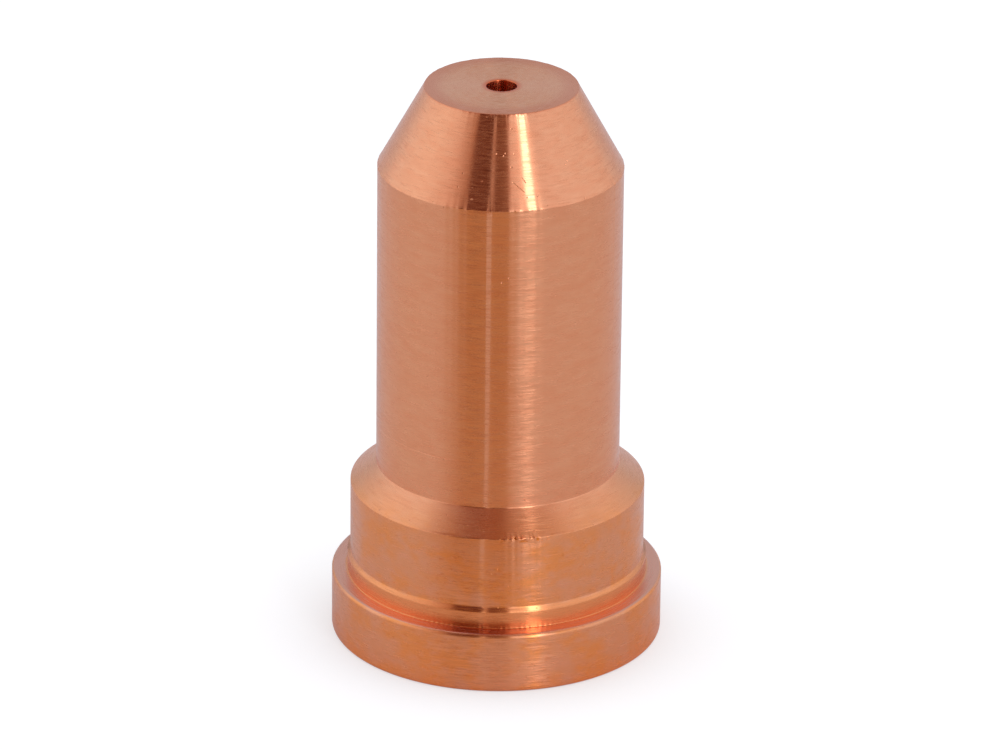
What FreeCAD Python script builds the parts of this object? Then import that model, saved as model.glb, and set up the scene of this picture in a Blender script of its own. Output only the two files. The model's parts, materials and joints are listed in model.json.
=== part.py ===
"""Nozzle of a plasma cutting torch: one piece, turned from copper bar.

Millimetres. The axis is +Z, the flange's base face is at Z = 0 and the nozzle's front face is on top.
The whole piece is a solid of revolution. Its half section runs from the base, up the outside, over the
front face, and back down through the arc orifice, the electrode chamber and the seat.
"""
import FreeCAD
import Part
import math
import os

# Flange: the wide foot that the torch's retaining cap holds down
flange_radius = 8.20
flange_height = 3.08
flange_foot_round = 0.15
flange_rim_break = 0.10

# Foot band: the lowest part of the collar, left a little proud where the second tool stopped
foot_band_radius = 7.43
foot_band_height = 0.92
foot_band_step_height = 0.09
foot_root_round = 0.04

# Collar, which centres the nozzle in the retaining cap
collar_radius = 7.29
collar_height = 3.73
collar_edge_round = 0.05

# Shoulder: the cone from the collar in to the body
shoulder_angle = 49.3
shoulder_root_round = 0.10

# Body: the long straight barrel
body_radius = 6.02
body_length = 15.67
nose_edge_round = 0.05

# Nose: the cone up to the flat front face
front_face_radius = 3.76
nose_angle = 28.7
front_edge_round = 0.05

# Seat: the wide bore in the base that takes the gas distributor ring
seat_radius = 6.20
seat_depth = 4.50
seat_mouth_bevel = 0.30
seat_floor_round = 0.10

# Electrode chamber
chamber_radius = 4.50
chamber_mouth_bevel = 0.30
converging_angle = 50.0
chamber_corner_round = 0.40

# Throat: the steep cone that leads the gas into the orifice
throat_radius = 1.50
throat_angle = 30.0

# Arc orifice
orifice_radius = 0.75
orifice_length = 3.20
orifice_edge_round = 0.04


def cone_height(radius_change, angle_from_axis):
    """Height of a cone whose side leans by this angle from the axis, in degrees."""
    return radius_change / math.tan(math.radians(angle_from_axis))


# Heights of the outer corners, stacked up from the base face
step_bottom = flange_height + foot_band_height
step_top = step_bottom + foot_band_step_height
collar_top = step_top + collar_height
body_bottom = collar_top + cone_height(collar_radius - body_radius, shoulder_angle)
body_top = body_bottom + body_length
front_face = body_top + cone_height(body_radius - front_face_radius, nose_angle)

# Heights of the inner corners, measured back from the front face, so that the nose keeps its thickness
orifice_entry = front_face - orifice_length
throat_entry = orifice_entry - cone_height(throat_radius - orifice_radius, throat_angle)
chamber_end = throat_entry - cone_height(chamber_radius - throat_radius, converging_angle)

SHARP = 0.0

# Each corner of the half section: radius, height, and the radius that rounds it
outside = [
    (seat_radius + seat_mouth_bevel, 0.0, SHARP),
    (flange_radius, 0.0, flange_foot_round),
    (flange_radius, flange_height - flange_rim_break, SHARP),
    (flange_radius - flange_rim_break, flange_height, SHARP),
    (foot_band_radius, flange_height, foot_root_round),
    (foot_band_radius, step_bottom, SHARP),
    (collar_radius, step_top, SHARP),
    (collar_radius, collar_top, collar_edge_round),
    (body_radius, body_bottom, shoulder_root_round),
    (body_radius, body_top, nose_edge_round),
    (front_face_radius, front_face, front_edge_round),
]
inside = [
    (orifice_radius, front_face, orifice_edge_round),
    (orifice_radius, orifice_entry, SHARP),
    (throat_radius, throat_entry, SHARP),
    (chamber_radius, chamber_end, chamber_corner_round),
    (chamber_radius, seat_depth + chamber_mouth_bevel, SHARP),
    (chamber_radius + chamber_mouth_bevel, seat_depth, SHARP),
    (seat_radius, seat_depth, seat_floor_round),
    (seat_radius, seat_mouth_bevel, SHARP),
]


def corner_edge(before, corner, after, round_radius):
    """Arc of the given radius, tangent to both runs that meet at the corner."""
    towards_before = (before - corner).normalize()
    towards_after = (after - corner).normalize()
    half_angle = towards_before.getAngle(towards_after) / 2
    setback = round_radius / math.tan(half_angle)
    bisector = (towards_before + towards_after).normalize()
    crown = corner + bisector * (round_radius / math.sin(half_angle) - round_radius)
    start = corner + towards_before * setback
    end = corner + towards_after * setback
    return Part.Arc(start, crown, end).toShape()


def half_section(corners):
    """Closed face of straight runs between the corners, with an arc wherever a corner is rounded."""
    points = [FreeCAD.Vector(radius, 0, height) for radius, height, _ in corners]
    arcs = []
    run_ends = []
    for index, point in enumerate(points):
        before = points[index - 1]
        after = points[(index + 1) % len(points)]
        round_radius = corners[index][2]
        if round_radius == SHARP:
            run_ends.append((point, point))
            continue
        arc = corner_edge(before, point, after, round_radius)
        arcs.append(arc)
        run_ends.append((arc.Vertexes[0].Point, arc.Vertexes[-1].Point))
    runs = []
    for index, (_, leaves) in enumerate(run_ends):
        arrives = run_ends[(index + 1) % len(run_ends)][0]
        runs.append(Part.LineSegment(leaves, arrives).toShape())
    return Part.Face(Part.Wire(Part.__sortEdges__(runs + arcs)))


def turned(section):
    """Solid swept by turning the half section once round the nozzle's axis."""
    solid = section.revolve(FreeCAD.Vector(0, 0, 0), FreeCAD.Vector(0, 0, 1), 360)
    return solid if solid.Volume > 0 else solid.reversed()


os.makedirs("parts", exist_ok=True)

nozzle = turned(half_section(outside + inside))
nozzle.exportStep("parts/nozzle.step")

print("nozzle: length %.2f mm, volume %.1f mm3" % (nozzle.BoundBox.ZLength, nozzle.Volume))
print("body %.2f to %.2f, chamber %.2f to %.2f" % (body_bottom, body_top, seat_depth, chamber_end))
print("valid:", nozzle.isValid(), "solids:", len(nozzle.Solids), "faces:", len(nozzle.Faces))
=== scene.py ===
"""Looks of the plasma torch nozzle: one piece of turned copper, standing on its base flange.

Metres, in the same frame as the solid: the nozzle's axis is +Z and its base face is at Z = 0. A place round
the nozzle is given in degrees from the front, which is -Y, and grows towards +X.
"""
import bpy
import bmesh
import json
import math
from mathutils import Matrix, Vector


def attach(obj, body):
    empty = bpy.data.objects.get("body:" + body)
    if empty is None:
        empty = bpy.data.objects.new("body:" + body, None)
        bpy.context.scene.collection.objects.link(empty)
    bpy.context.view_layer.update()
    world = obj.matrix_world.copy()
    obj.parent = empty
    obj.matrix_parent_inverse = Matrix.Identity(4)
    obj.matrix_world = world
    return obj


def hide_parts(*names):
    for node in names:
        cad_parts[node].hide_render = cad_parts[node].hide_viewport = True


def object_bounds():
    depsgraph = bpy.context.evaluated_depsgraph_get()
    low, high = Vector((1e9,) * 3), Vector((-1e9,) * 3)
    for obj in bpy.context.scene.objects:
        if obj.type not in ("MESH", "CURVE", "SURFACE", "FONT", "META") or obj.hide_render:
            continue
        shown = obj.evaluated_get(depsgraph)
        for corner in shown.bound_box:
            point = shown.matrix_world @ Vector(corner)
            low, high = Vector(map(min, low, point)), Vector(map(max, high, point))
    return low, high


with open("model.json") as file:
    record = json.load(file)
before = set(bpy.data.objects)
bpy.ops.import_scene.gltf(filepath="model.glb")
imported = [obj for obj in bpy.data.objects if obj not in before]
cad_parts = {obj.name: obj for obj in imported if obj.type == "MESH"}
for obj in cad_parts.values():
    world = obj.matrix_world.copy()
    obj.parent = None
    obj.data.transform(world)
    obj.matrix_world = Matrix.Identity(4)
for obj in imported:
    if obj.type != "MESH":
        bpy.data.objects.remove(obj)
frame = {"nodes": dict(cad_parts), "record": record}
cad_low, cad_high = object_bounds()

# ---------------------------------------------------------------- nozzle: form
# The nozzle is one piece of copper, turned from bar in a lathe. It is spun here from the solid's own half
# section, finely enough to carry the marks that the tools and its handling left on it.
MM = 0.001
spin_steps = 720           # four for each notch in the corner
on_plane = 0.0005 * MM     # slack when points are compared
finest_run = 0.011 * MM    # shorter runs of the section are merged
support = 0.13 * MM        # from an edge to the point that keeps its shading narrow


def half_section(solid):
    """Corners of the solid's half section, in order, as radius and height."""
    shell = bmesh.new()
    shell.from_mesh(solid.data)
    bmesh.ops.remove_doubles(shell, verts=shell.verts, dist=on_plane)
    neighbours = {}
    for edge in shell.edges:
        if all(abs(vert.co.y) < on_plane and vert.co.x > 0 for vert in edge.verts):
            for vert in edge.verts:
                neighbours.setdefault(vert, []).append(edge.other_vert(vert))
    start = max(neighbours, key=lambda vert: (vert.co.x, vert.co.z))
    corners, before, here = [], None, start
    while not corners or here is not start:
        corners.append((here.co.x, here.co.z))
        before, here = here, next(vert for vert in neighbours[here] if vert is not before)
    shell.free()
    return corners


def with_support(corners):
    """The section with a point near each end of every long run, which keeps smooth shading at the edges."""
    kept = [corners[0]]
    for corner in corners[1:]:
        if math.dist(corner, kept[-1]) > finest_run:
            kept.append(corner)
    points = []
    for (r0, z0), (r1, z1) in zip(kept, kept[1:] + kept[:1]):
        run = math.hypot(r1 - r0, z1 - z0)
        for share in (0.0, support / run, 1 - support / run) if run > 3 * support else (0.0,):
            points.append((r0 + (r1 - r0) * share, z0 + (z1 - z0) * share))
    return points


def spun(name, section):
    """Closed mesh of the section, turned once about Z."""
    count = len(section)
    turns = [2 * math.pi * step / spin_steps for step in range(spin_steps)]
    verts = [(r * math.cos(turn), r * math.sin(turn), z) for turn in turns for r, z in section]
    faces = []
    for step in range(spin_steps):
        here, there = step * count, (step + 1) % spin_steps * count
        for corner in range(count):
            following = (corner + 1) % count
            faces.append((here + corner, there + corner, there + following, here + following))
    mesh = bpy.data.meshes.new(name)
    mesh.from_pydata(verts, [], faces)
    mesh.shade_smooth()
    piece = bpy.data.objects.new(name, mesh)
    bpy.context.scene.collection.objects.link(piece)
    return piece


section = half_section(frame["nodes"]["nozzle"])
nozzle = spun("turned_nozzle", with_support(section))

# Rings that the marks are placed by: the corner at the collar's foot and the three outer edges above it
mounts = {mount["name"]: mount for mount in frame["record"]["mounts"]}
foot_radius = mounts["collar"]["dims"]["r_mm"] * MM
foot_height = mounts["flange_top"]["pos_m"][2]
body_radius = mounts["body"]["dims"]["r_mm"] * MM
nozzle_length = cad_high.z
collar_edge = max(corner for corner in section if corner[1] > foot_height + 1.5 * MM)
body_edge = (body_radius, max(z for r, z in section if abs(r - body_radius) < on_plane))
face_edge = max(corner for corner in section if corner[1] > nozzle_length - 0.01 * MM)


def add(tree, kind, *inputs, **names):
    """Adds a node and gives its first output. Inputs are in the node's order, as values or other outputs.

    A name in small letters is a setting of the node, and any other is the input of that name.
    """
    node = tree.nodes.new(kind)
    for name, setting in names.items():
        if name.islower():
            setattr(node, name, setting)
    values = list(zip((socket for socket in node.inputs if socket.enabled), inputs))
    for name, value in names.items():
        if not name.islower():
            values.append((node.inputs[name.replace("_", " ")], value))
    for socket, value in values:
        if isinstance(value, bpy.types.NodeSocket):
            tree.links.new(value, socket)
        else:
            socket.default_value = value
    return next((output for output in node.outputs if output.enabled), node)


# ---------------------------------------------------------------- nozzle: marks of the tools
# Chatter of the parting tool left a row of small notches in the corner at the collar's foot. The nose's
# two edges have a ragged burr, and handling has dented the collar's top edge at the front.
marks = bpy.data.node_groups.new("tool_marks", "GeometryNodeTree")
marks.is_modifier = True
marks.interface.new_socket("Geometry", in_out="INPUT", socket_type="NodeSocketGeometry")
mark_sizes = {
    "Notches": 180.0,
    "Notch Depth": 0.010 * MM,
    "Notch Reach": 0.06 * MM,
    "Burr Length": 0.30 * MM,
    "Burr Height": 0.020 * MM,
    "Dent Length": 0.13 * MM,
    "Dent Depth": 0.05 * MM,
    "Dents From": 2.0,
    "Dents To": 19.0,
    "Reach": 0.12 * MM,
}
for name in mark_sizes:
    marks.interface.new_socket(name, in_out="INPUT", socket_type="NodeSocketFloat")
marks.interface.new_socket("Copper", in_out="INPUT", socket_type="NodeSocketMaterial")
marks.interface.new_socket("Geometry", in_out="OUTPUT", socket_type="NodeSocketGeometry")
given = add(marks, "NodeGroupInput").node.outputs
at = add(marks, "GeometryNodeInputPosition")
across = add(marks, "ShaderNodeVectorMath", at, (1, 1, 0), operation="MULTIPLY")
from_axis = add(marks, "ShaderNodeVectorMath", across, operation="LENGTH")
outwards = add(marks, "ShaderNodeVectorMath", across, operation="NORMALIZE")
east, north, up = add(marks, "ShaderNodeSeparateXYZ", at).node.outputs
frontwards = add(marks, "ShaderNodeMath", north, -1.0, operation="MULTIPLY")
turn = add(marks, "ShaderNodeMath", east, frontwards, operation="ARCTAN2")
degrees = add(marks, "ShaderNodeMath", turn, operation="DEGREES")
in_section = add(marks, "ShaderNodeCombineXYZ", from_axis, 0.0, up)


def near_ring(ring, reach="Reach"):
    """One on the ring at this radius and height, falling to nought at the reach of a mark."""
    gap = add(marks, "ShaderNodeVectorMath", in_section, (ring[0], 0, ring[1]), operation="DISTANCE")
    return add(marks, "ShaderNodeMapRange", gap, 0.0, given[reach], 1.0, 0.0, interpolation_type="SMOOTHSTEP")


def ragged(length, detail):
    """Noise from nought to one along the rings, with bumps of about this length."""
    per_metre = add(marks, "ShaderNodeMath", 1.0, given[length], operation="DIVIDE")
    return add(marks, "ShaderNodeTexNoise", at, per_metre, detail)


wave = add(marks, "ShaderNodeMath", turn, given["Notches"], operation="MULTIPLY")
wave = add(marks, "ShaderNodeMath", wave, operation="SINE")
notch = near_ring((foot_radius, foot_height), "Notch Reach")
for factor in (wave, add(marks, "ShaderNodeMapRange", ragged("Burr Length", 1.0), 0.40, 0.60, 0.2, 1.0),
               given["Notch Depth"]):
    notch = add(marks, "ShaderNodeMath", notch, factor, operation="MULTIPLY")
dent = near_ring(collar_edge)
for end, fade_degrees in (("Dents From", 2.0), ("Dents To", -4.0)):
    full = add(marks, "ShaderNodeMath", given[end], fade_degrees, operation="ADD")
    begun = add(marks, "ShaderNodeMapRange", degrees, given[end], full)
    dent = add(marks, "ShaderNodeMath", dent, begun, operation="MULTIPLY")
for factor in (add(marks, "ShaderNodeMapRange", ragged("Dent Length", 1.0), 0.44, 0.56), given["Dent Depth"]):
    dent = add(marks, "ShaderNodeMath", dent, factor, operation="MULTIPLY")
raised = add(marks, "ShaderNodeMath", notch, dent, operation="SUBTRACT")
normal = add(marks, "GeometryNodeInputNormal")
shift = add(marks, "ShaderNodeVectorMath", normal, Scale=raised, operation="SCALE")
burr = add(marks, "ShaderNodeMath", near_ring(body_edge), near_ring(face_edge), operation="ADD")
for factor in (add(marks, "ShaderNodeMapRange", ragged("Burr Length", 2.0), 0.35, 0.75, -0.3, 1.0),
               given["Burr Height"]):
    burr = add(marks, "ShaderNodeMath", burr, factor, operation="MULTIPLY")
flare = add(marks, "ShaderNodeVectorMath", outwards, Scale=burr, operation="SCALE")
moved = add(marks, "GeometryNodeSetPosition", given["Geometry"],
            Offset=add(marks, "ShaderNodeVectorMath", shift, flare, operation="ADD"))
real = add(marks, "GeometryNodeRealizeInstances", moved)
coated = add(marks, "GeometryNodeSetMaterial", real, Material=given["Copper"])
add(marks, "NodeGroupOutput", coated)


# ---------------------------------------------------------------- nozzle: turned copper
# Bare high-conductivity copper, finished by a fine turning tool. Its rings spread reflections along the axis
# and keep them narrow round it. Handling has dulled it in streaks. From the shoulder down the colour is
# painted warmer, a painted reflection of the warm, shaded floor near the base.
def linear(hex_colour):
    """sRGB hex colour as linear red, green, blue and alpha."""
    channels = [int(hex_colour[i:i + 2], 16) / 255 for i in (1, 3, 5)]
    return [c / 12.92 if c <= 0.04045 else ((c + 0.055) / 1.055) ** 2.4 for c in channels] + [1.0]


turned_copper = bpy.data.materials.new("turned_copper")
turned_copper.use_nodes = True
copper = turned_copper.node_tree
copper.nodes.clear()
place = add(copper, "ShaderNodeTexCoord").node.outputs["Object"]
flat_place = add(copper, "ShaderNodeVectorMath", place, (1, 1, 0), operation="MULTIPLY")
radius = add(copper, "ShaderNodeVectorMath", flat_place, operation="LENGTH")
spoke = add(copper, "ShaderNodeVectorMath", flat_place, operation="NORMALIZE")
x, y, height = add(copper, "ShaderNodeSeparateXYZ", place).node.outputs
to_front = add(copper, "ShaderNodeMath", y, -1.0, operation="MULTIPLY")
turned = add(copper, "ShaderNodeMath", x, to_front, operation="ARCTAN2")
turned = add(copper, "ShaderNodeMath", turned, operation="DEGREES")


def ring_noise(pitch, patches, detail):
    """Noise in rings about the axis, a pitch apart, that changes along a ring this many times in a radian."""
    along = add(copper, "ShaderNodeVectorMath", spoke, Scale=patches, operation="SCALE")
    rings = add(copper, "ShaderNodeVectorMath", place, (0, 0, 1 / pitch), along, operation="MULTIPLY_ADD")
    out = add(copper, "ShaderNodeMath", radius, 1 / pitch, operation="MULTIPLY")
    return add(copper, "ShaderNodeTexNoise", rings, out, 1.0, detail, noise_dimensions="4D")


def zone(value, low, high, fade):
    """One where the value lies between low and high, falling to nought a fade outside them."""
    inside = 1.0
    for start, end in ((low - fade, low), (high + fade, high)):
        edge = add(copper, "ShaderNodeMapRange", value, start, end, interpolation_type="SMOOTHSTEP")
        inside = add(copper, "ShaderNodeMath", inside, edge, operation="MULTIPLY")
    return inside


def where_all(*patterns):
    """Product of patterns: where all of them are."""
    product = patterns[0]
    for pattern in patterns[1:]:
        product = add(copper, "ShaderNodeMath", product, pattern, operation="MULTIPLY")
    return product


def scratch(at_degrees, at_height, length, lean, width):
    """A straight scratch across the rings, at a place round the nozzle and a height."""
    round_by = add(copper, "ShaderNodeMath", turned, at_degrees, operation="SUBTRACT")
    metres = add(copper, "ShaderNodeMath", radius, math.radians(1), operation="MULTIPLY")
    beside = add(copper, "ShaderNodeMath", round_by, metres, operation="MULTIPLY")
    above = add(copper, "ShaderNodeMath", height, at_height, operation="SUBTRACT")
    away = add(copper, "ShaderNodeCombineXYZ", beside, above, 0.0)
    ahead = (math.cos(lean), math.sin(lean), 0)
    sideways = (-math.sin(lean), math.cos(lean), 0)
    along = add(copper, "ShaderNodeVectorMath", away, ahead, operation="DOT_PRODUCT")
    off = add(copper, "ShaderNodeVectorMath", away, sideways, operation="DOT_PRODUCT")
    return where_all(zone(along, -length / 3, length / 3, length / 6), zone(off, 0.0, 0.0, width))


# Patterns. The tool's feed was about 0.06 mm a turn. The marks of wiping and the clouds of tarnish are wider.
tool_rings = ring_noise(0.06 * MM, 8.0, 1.0)
wipe_marks = ring_noise(0.28 * MM, 7.0, 2.0)
clouds = ring_noise(1.3 * MM, 5.0, 2.0)
fine_clouds = ring_noise(0.35 * MM, 14.0, 3.0)
foot = zone(height, 0.0, 6.8 * MM, 2.4 * MM)
band_top = foot_height + 0.95 * MM
foot_band = where_all(zone(height, foot_height, band_top, 0.1 * MM), zone(radius, 0.0, 7.45 * MM, 0.05 * MM),
                      foot)
flange_top = where_all(zone(height, foot_height, foot_height, 0.05 * MM),
                       zone(radius, 7.6 * MM, 8.2 * MM, 0.15 * MM))
face_rim = where_all(zone(height, nozzle_length, nozzle_length, 0.1 * MM),
                     zone(radius, 3.5 * MM, 3.7 * MM, 0.9 * MM))
orifice = where_all(zone(height, nozzle_length - 3.0 * MM, nozzle_length, MM),
                    zone(radius, 0.0, 0.78 * MM, 0.3 * MM))
flecks = add(copper, "ShaderNodeMapRange", ring_noise(0.16 * MM, 30.0, 2.0), 0.62, 0.72)
nicks = add(copper, "ShaderNodeTexNoise", place, 1 / (0.30 * MM), 2.0)
nicks = add(copper, "ShaderNodeMapRange", nicks, 0.54, 0.60)
edge_specks = where_all(nicks, zone(height, 7.70 * MM, 7.85 * MM, 0.12 * MM), zone(turned, 4.0, 18.0, 5.0))
specks = add(copper, "ShaderNodeTexVoronoi", place, Scale=1 / (0.45 * MM), feature="F1")
specks = add(copper, "ShaderNodeMapRange", specks, 0.11, 0.05)
speckled = add(copper, "ShaderNodeTexNoise", place, 1 / (2.2 * MM), 1.0)
pits = where_all(specks, add(copper, "ShaderNodeMapRange", speckled, 0.48, 0.60))
scratches = where_all(zone(height, 11.3 * MM, 11.3 * MM, 0.035 * MM), zone(turned, -60.0, -24.0, 6.0))
for at_degrees, at_height, length, lean in ((9.0, 25.6, 0.8, -40), (12.0, 25.9, 0.35, -55)):
    line = scratch(at_degrees, at_height * MM, length * MM, math.radians(lean), 0.025 * MM)
    scratches = add(copper, "ShaderNodeMath", scratches, line, operation="MAXIMUM")

# Colours: bare metal; from the shoulder down a warmer colour, a painted reflection of the warm, shaded floor
# near the base, with paler clouds; and the tint left by the arc
colour = linear("#fbab7e")
for pattern, share, hex_colour in (
    (add(copper, "ShaderNodeMapRange", wipe_marks, 0.3, 0.7), 1.0, "#f8a275"),
    # painted reflection: the foot's warmer colour stands in for the warm, shaded floor that it reflects
    (foot, 1.0, "#fd9d5c"),
    (where_all(foot, add(copper, "ShaderNodeMapRange", clouds, 0.42, 0.60)), 0.9, "#f6a476"),
    (where_all(foot, add(copper, "ShaderNodeMapRange", fine_clouds, 0.45, 0.70)), 0.5, "#f7a780"),
    (where_all(foot, flecks), 0.35, "#e2773a"),
    (foot_band, 1.0, "#fb9f66"),
    (flange_top, 1.0, "#f1a689"),
    (edge_specks, 0.9, "#ee8434"),
    (face_rim, 1.0, "#f0956c"),
    (orifice, 1.0, "#ee7a4c"),
):
    share = add(copper, "ShaderNodeMath", pattern, share, operation="MULTIPLY")
    colour = add(copper, "ShaderNodeMix", share, colour, linear(hex_colour), data_type="RGBA")
roughness = add(copper, "ShaderNodeMapRange", tool_rings, 0.3, 0.7, 0.14, 0.30)
bump = add(copper, "ShaderNodeBump", Strength=1.0, Distance=0.0005 * MM, Height=tool_rings)
for pattern, depth in ((pits, 0.012), (scratches, 0.010), (edge_specks, 0.010)):
    bump = add(copper, "ShaderNodeBump", Strength=1.0, Distance=depth * MM, Height=pattern, Normal=bump,
               invert=True)
metal = add(copper, "ShaderNodeBsdfPrincipled", Base_Color=colour, Metallic=1.0, Roughness=roughness,
            Anisotropic=1.0, Anisotropic_Rotation=0.25, Normal=bump,
            Tangent=add(copper, "ShaderNodeTangent", direction_type="RADIAL", axis="Z"))
add(copper, "ShaderNodeOutputMaterial", metal)

worn = nozzle.modifiers.new("tool_marks", "NODES")
worn.node_group = marks
sockets = {}
for socket in marks.interface.items_tree:
    if socket.in_out == "INPUT":
        sockets[socket.name] = socket.identifier
for name, size in mark_sizes.items():
    worn[sockets[name]] = size
worn[sockets["Copper"]] = turned_copper
scene = bpy.context.scene
worn_mesh = bpy.data.meshes.new_from_object(nozzle.evaluated_get(bpy.context.evaluated_depsgraph_get()))
nozzle.modifiers.remove(worn)
nozzle.data = worn_mesh
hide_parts("nozzle")
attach(nozzle, "root")

# ---------------------------------------------------------------- floor
# A sheet of matt white paper, far larger than the view. It glows for the camera alone, so that it renders
# white, and its diffuse part still takes the nozzle's shadow. The glow is dimmed in the crevice round the
# base by ambient occlusion, a painted contact shadow. For other rays a warm, darker sector in front of the
# nozzle is painted into the paper's colour, painted shade as from the camera and its stand, apart from a
# painted chink of light.
paper_size = 3.0
paper_glow = 0.76
crevice_reach = 5 * MM
sheet = bmesh.new()
bmesh.ops.create_grid(sheet, x_segments=1, y_segments=1, size=paper_size / 2)
paper_mesh = bpy.data.meshes.new("paper")
sheet.to_mesh(paper_mesh)
sheet.free()
floor = bpy.data.objects.new("paper", paper_mesh)
scene.collection.objects.link(floor)
white_paper = bpy.data.materials.new("white_paper")
white_paper.use_nodes = True
paper = white_paper.node_tree
paper.nodes.clear()
by_camera = add(paper, "ShaderNodeLightPath")
spot = add(paper, "ShaderNodeTexCoord").node.outputs["Object"]
spot_x, spot_y, _ = add(paper, "ShaderNodeSeparateXYZ", spot).node.outputs
to_front = add(paper, "ShaderNodeMath", spot_y, -1.0, operation="MULTIPLY")
towards = add(paper, "ShaderNodeMath", spot_x, to_front, operation="ARCTAN2")
towards = add(paper, "ShaderNodeMath", towards, operation="DEGREES")
far_off = add(paper, "ShaderNodeVectorMath", spot, operation="LENGTH")
# Painted shade: for all but camera rays the paper's colour turns warm and darker in a sector in front of the
# nozzle, with a painted chink of light at -9.6 degrees.
painted_shade = add(paper, "ShaderNodeMath", 1.0, by_camera, operation="SUBTRACT")
for value, start, end in ((towards, -60.0, -24.0), (towards, 24.0, 4.0), (far_off, 12 * MM, 26 * MM)):
    edge = add(paper, "ShaderNodeMapRange", value, start, end, 0.0, 1.0, interpolation_type="SMOOTHSTEP")
    painted_shade = add(paper, "ShaderNodeMath", painted_shade, edge, operation="MULTIPLY")
chink = add(paper, "ShaderNodeMath", towards, -9.6, 1.4, operation="COMPARE")
chink = add(paper, "ShaderNodeMath", chink, -0.9, 1.0, operation="MULTIPLY_ADD")
painted_shade = add(paper, "ShaderNodeMath", painted_shade, chink, operation="MULTIPLY")
tone = add(paper, "ShaderNodeMix", painted_shade, linear("#f6f4f2"), linear("#dfc096"), data_type="RGBA")
tone = add(paper, "ShaderNodeMix", by_camera, tone, linear("#b3b3b3"), data_type="RGBA")
# Painted contact shadow: ambient occlusion dims the camera's glow in the crevice round the base.
openness = add(paper, "ShaderNodeAmbientOcclusion", Distance=crevice_reach)
openness = add(paper, "ShaderNodeSeparateColor", openness)
lift = add(paper, "ShaderNodeMath", openness, 0.45, 0.55, operation="MULTIPLY_ADD")
for factor in (paper_glow, by_camera):
    lift = add(paper, "ShaderNodeMath", lift, factor, operation="MULTIPLY")
lit = add(paper, "ShaderNodeAddShader", add(paper, "ShaderNodeBsdfDiffuse", tone),
          add(paper, "ShaderNodeEmission", (1, 1, 1, 1), lift))
add(paper, "ShaderNodeOutputMaterial", lit)
paper_mesh.materials.append(white_paper)

# ---------------------------------------------------------------- light tent
# White cloth all round the nozzle, lit from outside. It is open in front, where the dark room shows as a
# slot with a chink of light in it, and a tall narrow lamp leans just to the right of the opening.
light_tent = bpy.data.worlds.new("light_tent")
scene.world = light_tent
light_tent.use_nodes = True
tent = light_tent.node_tree
tent.nodes.clear()
way = add(tent, "ShaderNodeTexCoord").node.outputs["Generated"]
way_x, way_y, way_z = add(tent, "ShaderNodeSeparateXYZ", way).node.outputs
to_front = add(tent, "ShaderNodeMath", way_y, -1.0, operation="MULTIPLY")
azimuth = add(tent, "ShaderNodeMath", way_x, to_front, operation="ARCTAN2")
azimuth = add(tent, "ShaderNodeMath", azimuth, operation="DEGREES")
elevation = add(tent, "ShaderNodeMath", way_z, operation="ARCSINE")
elevation = add(tent, "ShaderNodeMath", elevation, operation="DEGREES")
cloth_level = 2.0
lamp_level = 2.9


def hung(cloths):
    """Light from cloths hung all round: degrees from the front, and the colour there at the cloths' level."""
    ramp = add(tent, "ShaderNodeValToRGB", add(tent, "ShaderNodeMapRange", azimuth, -180.0, 180.0, 0.0, 1.0))
    stops = ramp.node.color_ramp.elements
    while len(stops) > 1:
        stops.remove(stops[-1])
    for degrees_round, hex_colour in cloths:
        stops.new(degrees_round / 360 + 0.5).color = linear(hex_colour)
    stops.remove(stops[0])
    return add(tent, "ShaderNodeVectorMath", ramp, (cloth_level,) * 3, operation="MULTIPLY")


walls = hung([
    (-180, "#8f9ba8"), (-150, "#8f9ba8"), (-120, "#b0bac8"), (-85, "#b4bcc8"), (-55, "#a8a5ac"),
    (-36, "#85736c"), (-32, "#4d3530"), (-11, "#4d3530"), (-10, "#b0aeb2"), (-7.5, "#b0aeb2"),
    (-6.5, "#604c46"), (2, "#6a5852"), (7, "#7a6a64"), (9, "#8d7d76"), (11, "#d4e0f2"), (36, "#d6deec"),
    (44, "#b0b6c4"), (90, "#acb4c2"), (120, "#a8aeb9"), (150, "#8f9ba8"),
])
overhead = hung([
    (-180, "#8f9ba8"), (-115, "#a6b2c4"), (-91, "#aeb8c4"), (-74, "#83736d"), (-59, "#6e564f"),
    (-37, "#674c47"), (-3, "#6f5448"), (10, "#6d554a"), (24, "#7c6a60"), (47, "#857f7e"), (67, "#85776d"),
    (81, "#9d99a0"), (97, "#acb4c1"), (121, "#8f887e"), (147, "#8f9ba8"),
])
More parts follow.
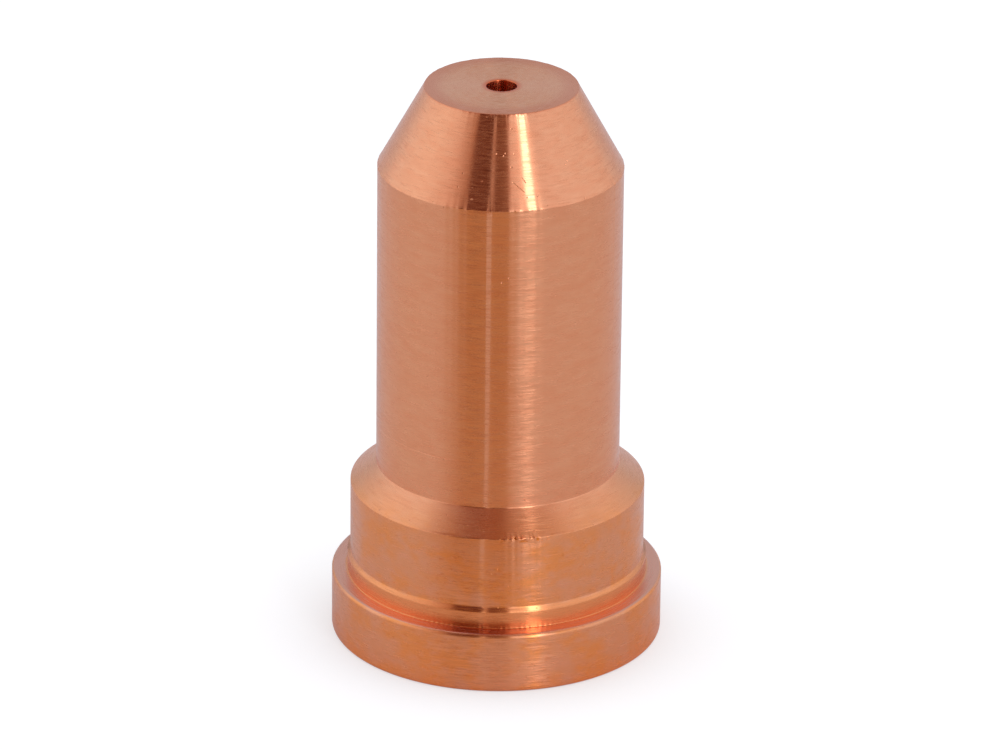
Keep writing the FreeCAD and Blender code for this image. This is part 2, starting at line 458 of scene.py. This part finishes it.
# The walls are dimmer above the opening in front, and the cloths overhead take over from them higher up.
up_front = add(tent, "ShaderNodeMath", azimuth, operation="ABSOLUTE")
up_front = add(tent, "ShaderNodeMath", up_front, -0.5, 25.0, operation="MULTIPLY_ADD")
up_front = add(tent, "ShaderNodeMath", elevation, up_front, operation="ADD")
dimming = add(tent, "ShaderNodeMapRange", up_front, 38.0, 58.0)
dim = add(tent, "ShaderNodeMix", dimming, (1.0, 1.0, 1.0, 1.0), linear("#bca29a"), data_type="RGBA")
walls = add(tent, "ShaderNodeVectorMath", walls, dim, operation="MULTIPLY")
higher = add(tent, "ShaderNodeMapRange", elevation, 42.0, 50.0)
cloth = add(tent, "ShaderNodeMix", higher, walls, overhead, data_type="RGBA")
leaning = add(tent, "ShaderNodeMath", elevation, -0.18, azimuth, operation="MULTIPLY_ADD")
lamp = lamp_level
for value, start, end, least in (
    (leaning, 18.5, 22.5, 0.0),
    (leaning, 31.0, 28.0, 0.0),
    (elevation, -5.0, 25.0, 0.6),
    (elevation, 55.0, 40.0, 0.0),
):
    edge = add(tent, "ShaderNodeMapRange", value, start, end, least, 1.0, interpolation_type="SMOOTHSTEP")
    lamp = add(tent, "ShaderNodeMath", lamp, edge, operation="MULTIPLY")
lamp_light = add(tent, "ShaderNodeVectorMath", linear("#eef4ff")[:3], Scale=lamp, operation="SCALE")
inside = add(tent, "ShaderNodeVectorMath", cloth, lamp_light, operation="ADD")
to_camera = add(tent, "ShaderNodeLightPath")
seen = add(tent, "ShaderNodeMix", to_camera, inside, (1.0, 1.0, 1.0, 1.0), data_type="RGBA")
add(tent, "ShaderNodeOutputWorld", add(tent, "ShaderNodeBackground", seen, 1.0))

# ---------------------------------------------------------------- camera
# A long lens, far off and well above, as for a picture of a small part on a table.
distance = 46 * cad_high.x
tilt = math.radians(23.69)
roll = math.radians(0.61)
aim = Vector((0.0086 * cad_high.x, 0, 0.4661 * nozzle_length))
lens = bpy.data.cameras.new("camera")
lens.sensor_width = 36
lens.lens = 275.4
lens.clip_start = 0.01
camera = bpy.data.objects.new("camera", lens)
camera.location = aim + distance * Vector((0, -math.cos(tilt), math.sin(tilt)))
looking_down = Matrix.Rotation(math.pi / 2 - tilt, 3, "X")
camera.rotation_euler = (looking_down @ Matrix.Rotation(roll, 3, "Z")).to_euler()
scene.collection.objects.link(camera)
scene.camera = camera
scene.view_settings.view_transform = "Standard"
